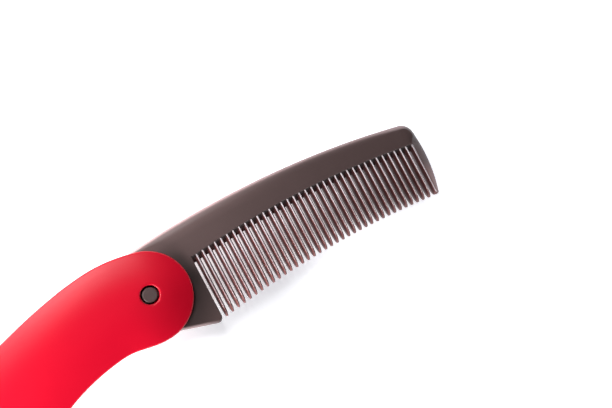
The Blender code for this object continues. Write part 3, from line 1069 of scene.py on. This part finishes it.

# %% [markdown]
# ## Where light and shade are painted on the comb
#
# The comb is one plastic, and most of its zones are painted light and shade. The broad face is
# painted paler near the handle and along the spine, a painted sheen. The sawn flanks of the teeth
# are warmer, partly their own red and partly painted light through the thin teeth, and dark down at
# their roots as painted shade where no light reaches. Hair rubs the ridges glossy, and their pale
# colour is a painted highlight. The end guard is made lighter towards its tip.
# These zones could be painted on a texture. Here each is worked out from the arcs that drew the
# comb: the teeth lie below the arc of the roots, and a ridge is what comes near the face's height.
# %% Find the zones of the teeth
RIDGE_FROM, RIDGE_TO = 0.90, 0.96
SLOPE_PAINTED_LIGHT = 0.6
RIDGE_HIGHLIGHT_FADE = 0.6
TEETH_LIGHT_AT_HEEL, TEETH_LIGHT_LOST = 1.4, 0.6


def tooth_zones(bench, x, z, depth):
    """Masks of the sawn teeth, from places measured from the pivot and the roots."""
    row = (bench.fade(x, GUARD_RIGHT_X, GUARD_RIGHT_X + 0.5 * MM)
           * bench.fade(x, GUARD_RIDGE_X + 0.4 * MM, GUARD_RIDGE_X))
    # The end guard's outer slope gets some of the teeth's colour as painted light.
    end_slope = (1 - row) * bench.fade_mm(x, 83, 84) * bench.fade_mm(depth, -3, 4)
    share = abs(z) / (HALF - depth * TAPER)
    ridge = (row * bench.fade_mm(depth, 0.15, 0.4)
             * bench.fade(share, RIDGE_FROM, RIDGE_TO))
    # The painted ridge highlight fades towards the tips.
    highlight_fade = bench.fade_mm(depth, 3, 12) * bench.fade_mm(x, 83.2, 82.5) * RIDGE_HIGHLIGHT_FADE
    return {
        # Teeth colour: partly their own warmer red, partly painted light; it fades from heel to end
        # as painted light.
        "sawn": row * bench.fade_mm(depth, 0.2, 1.8) + end_slope * SLOPE_PAINTED_LIGHT,
        "warmth": TEETH_LIGHT_AT_HEEL - bench.fade_mm(x, 15, 80) * TEETH_LIGHT_LOST,
        # Painted shade down at the roots.
        "root": row * bench.fade_mm(depth, 0, 0.3) * bench.fade_mm(depth, 3.0, 1.6),
        "ridge": ridge,
        "ridge_highlight": ridge * (1 - highlight_fade),
        "guard_tip": bench.fade_mm(depth, 5, 10) * bench.fade_mm(x, 84.0, 84.6),
    }


print("ridges start at", RIDGE_FROM, "of the face's height")

# %% [markdown]
# The rolled edge of the spine gets a painted highlight: Layer Weight finds where it turns away from
# the eye. So does the lower edge of the heel guard. The face is darker close to the handle, whose
# round end stands over it: a painted shadow, and a narrower painted shade along its edge.
# %% Find the zones of the body
SHEEN_NEAR_HANDLE, SHEEN_BY_SPINE = 0.12, 0.28
RIM_HIGHLIGHT_FADE = 0.55
HEEL_EDGE_HIGHLIGHT = 0.4
COLLAR_FULL, COLLAR_END = 11.5, 14.5


def body_zones(bench, x, y, flat):
    """Masks of the spine, the heel guard and the face, from places measured from the pivot."""
    spine = SPINE[1] - bench.distance(flat, (*SPINE[0], 0))
    heel = bench.distance(flat, (0, 0, 0))
    facing = bench.node("ShaderNodeLayerWeight", {}, {}, "Facing")
    rim = bench.fade_mm(spine, 1.6, 0.3) * bench.fade(facing, 0.0, 0.4)
    down = bench.vector("DOT_PRODUCT", {0: flat, 1: (*polar((0, 0), 1, GUARD_BOTTOM_DEG), 0)},
                        "Value")
    low_edge = bench.fade(down, DISC_RADIUS - 0.9 * MM, DISC_RADIUS - 0.2 * MM)
    # Painted sheen: the face is lighter towards the handle and along the spine.
    spine_sheen = bench.fade_mm(spine, 4.5, 2) * bench.fade_mm(x, 52, 26)
    return {
        "rubbed": bench.fade_mm(x, 45, 15) * SHEEN_NEAR_HANDLE + spine_sheen * SHEEN_BY_SPINE,
        # Painted shadow of the handle's round end on the heel guard.
        "heel": bench.fade_mm(heel, 25, 13) * bench.fade_mm(y, 4, -2),
        # Painted shade in a narrow band along the round end's edge.
        "collar": (bench.fade_mm(heel, COLLAR_END, COLLAR_FULL) * bench.fade_mm(y, 9, 4)
                   * bench.fade_mm(y, -5, 1)),
        # Painted highlights on the spine's rolled edge and the heel guard's lower edge.
        "rim": rim * (1 - bench.fade_mm(x, 20, 60) * RIM_HIGHLIGHT_FADE),
        "heel_edge_highlight": (low_edge * bench.fade_mm(x, -3, 0) * bench.fade_mm(x, 14, 7)) * HEEL_EDGE_HIGHLIGHT,
    }


print("the collar ends", round(COLLAR_END - ROUND[1] / MM, 1), "mm outside the round end")

# %% [markdown]
# ## Brown comb plastic
#
# The comb is a dark brown plastic, greyed by fine polishing marks on its broad faces.
# Three noises make it: a fine grain, strokes stretched along the comb, and a slow clouding. One
# flat colour would shine too evenly to pass for moulded plastic.
# The pin is of the same plastic, a little darker, and has no teeth.
# %% Mix the brown plastic
BROWN_FACE = (0.092, 0.059, 0.058)
# The teeth's brighter red is partly their own colour and partly painted light through them.
BROWN_TEETH = (0.14, 0.048, 0.046)
# Painted highlight colour of the ridges.
RIDGE_HIGHLIGHT_COLOUR = (0.62, 0.56, 0.60)
RIM_HIGHLIGHT_COLOUR = (0.50, 0.34, 0.345)
BROWN_ROUGHNESS = 0.36
BROWN_SPECULAR = 0.5
BROWN_BUMP = 0.01 * MM
GRAINS, STROKES, CLOUDS = 2600, 240, 70
STROKE_STRETCH = (1, 9, 9)


def brown_finish(name, tone, with_teeth):
    """Dark brown plastic, with warmer, glossier teeth where the piece has them."""
    material = bpy.data.materials.new(name)
    bench = Bench(material)
    shader = bench.tree.nodes["Principled BSDF"]
    place = bench.node("ShaderNodeTexCoord", {}, {}, "Object")
    place = bench.node("ShaderNodeMapping", {}, {"Vector": place, "Location": -pivot})
    grain = bench.noise(place, GRAINS, 3.0)
    stroke = bench.node("ShaderNodeMapping", {}, {"Vector": place, "Scale": STROKE_STRETCH})
    polish = bench.noise(stroke, STROKES, 3.0)
    cloud = bench.noise(place, CLOUDS)
    colour = bench.brighten(BROWN_FACE,
                            (0.86 + cloud * 0.16 + polish * 0.06 + grain * 0.06) * tone)
    rough = BROWN_ROUGHNESS + grain * 0.06 + polish * 0.06
    if with_teeth:
        colour, rough = painted_zones_finish(bench, shader, place, cloud, grain, colour, rough)
    bump = bench.node("ShaderNodeBump", {}, {"Height": grain + polish * 0.6, "Strength": 0.25,
                                             "Distance": BROWN_BUMP})
    bench.feed(shader, {"Base Color": colour, "Roughness": rough, "Normal": bump,
                        "Specular IOR Level": BROWN_SPECULAR})
    print(name, "has", len(bench.tree.nodes), "nodes")
    return material


# %% [markdown]
# On the comb the zones are laid over that brown one after the other: each either brightens what
# is there or mixes another colour in, and most of them are painted light or shade. The ridges also
# get a clear coat, because rubbing has polished them; their pale colour is a painted highlight.
# %% Lay the zones over it
ROOT_SHADE = 0.25
TIP_GAIN = 1.4
HEEL_SHADE = 0.6
COLLAR_SHADE = 0.5
RIDGE_POLISH = 0.2
RIDGE_COAT_IOR = 1.6
PIN_TONE = 0.75


def painted_zones_finish(bench, shader, place, cloud, grain, colour, rough):
    """The comb's colour and roughness with all its zones of painted light and shade, and a coat on
    the ridges.
    """
    x, y, z = (bench.axis(place, letter) for letter in "XYZ")
    flat = bench.vector("MULTIPLY", {0: place, 1: (1, 1, 0)})
    tooth = tooth_zones(bench, x, z, ROOT[1] - bench.distance(flat, (*ROOT[0], 0)))
    body = body_zones(bench, x, y, flat)
    # Painted sheen on the face near the handle and the spine.
    colour = bench.brighten(colour, 1 + body["rubbed"])
    # Teeth colour, partly painted light, brightest by the heel.
    warm = bench.brighten(BROWN_TEETH, (0.9 + cloud * 0.12 + grain * 0.08) * tooth["warmth"])
    colour = bench.mix(tooth["sawn"], colour, warm)
    # Painted shade at the roots of the teeth.
    colour = bench.brighten(colour, 1 - tooth["root"] * ROOT_SHADE)
    # Painted highlight on the ridges.
    colour = bench.mix(tooth["ridge_highlight"], colour, RIDGE_HIGHLIGHT_COLOUR)
    colour = bench.brighten(colour, 1 + tooth["guard_tip"] * TIP_GAIN)
    # Painted shadow of the handle, then painted shade along its edge.
    colour = bench.brighten(colour, 1 - body["heel"] * (1 - tooth["ridge"]) * HEEL_SHADE)
    colour = bench.brighten(colour, 1 - body["collar"] * COLLAR_SHADE)
    # Painted highlights on the rolled edges.
    colour = bench.mix(body["rim"], colour, RIM_HIGHLIGHT_COLOUR)
    colour = bench.mix(body["heel_edge_highlight"], colour, RIM_HIGHLIGHT_COLOUR)
    bench.feed(shader, {"Coat Weight": tooth["ridge"], "Coat Roughness": RIDGE_POLISH,
                        "Coat IOR": RIDGE_COAT_IOR})
    return colour, rough - tooth["sawn"] * 0.06 - tooth["ridge"] * 0.10


for piece, tone, with_teeth in ((comb, 1.0, True), (frame["nodes"]["pivot_pin"], PIN_TONE, False)):
    piece.data.materials.clear()
    piece.data.materials.append(brown_finish("brown_plastic_" + piece.name, tone, with_teeth))

# %% [markdown]
# ## Red handle plastic
#
# The handle is moulded in a deep, saturated red with a satin surface: a fine etched grain from
# the mould scatters the light, so highlights on the crown are broad and soft.
# Below the pin the red is a little deeper, a painted shade on the round end.
# The grain is fine noise in the bump and the roughness, and a slower noise carries the slight
# clouding of the pigment. A picture of leather-like grain would do too, but it would have to be
# unrolled over the crown and its rim.
# %% Mix the red plastic
RED = (0.52, 0.0012, 0.0165)
RED_ROUGHNESS = 0.30
RED_SPECULAR = 0.35
RED_BUMP = 0.012 * MM
RED_GRAINS, RED_CLOUDS = 3200, 55
ROUND_END_SHADE_PLACE = (pivot.x + 3 * MM, pivot.y - 6 * MM, 9 * MM)
ROUND_END_SHADE = 0.18

red_plastic = bpy.data.materials.new("red_plastic")
bench = Bench(red_plastic)
shader = bench.tree.nodes["Principled BSDF"]
place = bench.node("ShaderNodeTexCoord", {}, {}, "Object")
grain = bench.noise(place, RED_GRAINS, 3.0)
cloud = bench.noise(place, RED_CLOUDS)
# Painted shade on the round end, below the pin.
round_end_shade = bench.fade_mm(bench.distance(place, ROUND_END_SHADE_PLACE), 12, 2)
colour = bench.brighten(RED, (0.93 + cloud * 0.08 + grain * 0.06) * (1.02 - round_end_shade * ROUND_END_SHADE))
rough = RED_ROUGHNESS + grain * 0.06 + cloud * 0.04
bump = bench.node("ShaderNodeBump", {}, {"Height": grain, "Strength": 0.25, "Distance": RED_BUMP})
bench.feed(shader, {"Base Color": colour, "Roughness": rough, "Normal": bump,
                    "Specular IOR Level": RED_SPECULAR})
for piece in (upper, lower):
    piece.data.materials.clear()
    piece.data.materials.append(red_plastic)
print("red_plastic has", len(bench.tree.nodes), "nodes")
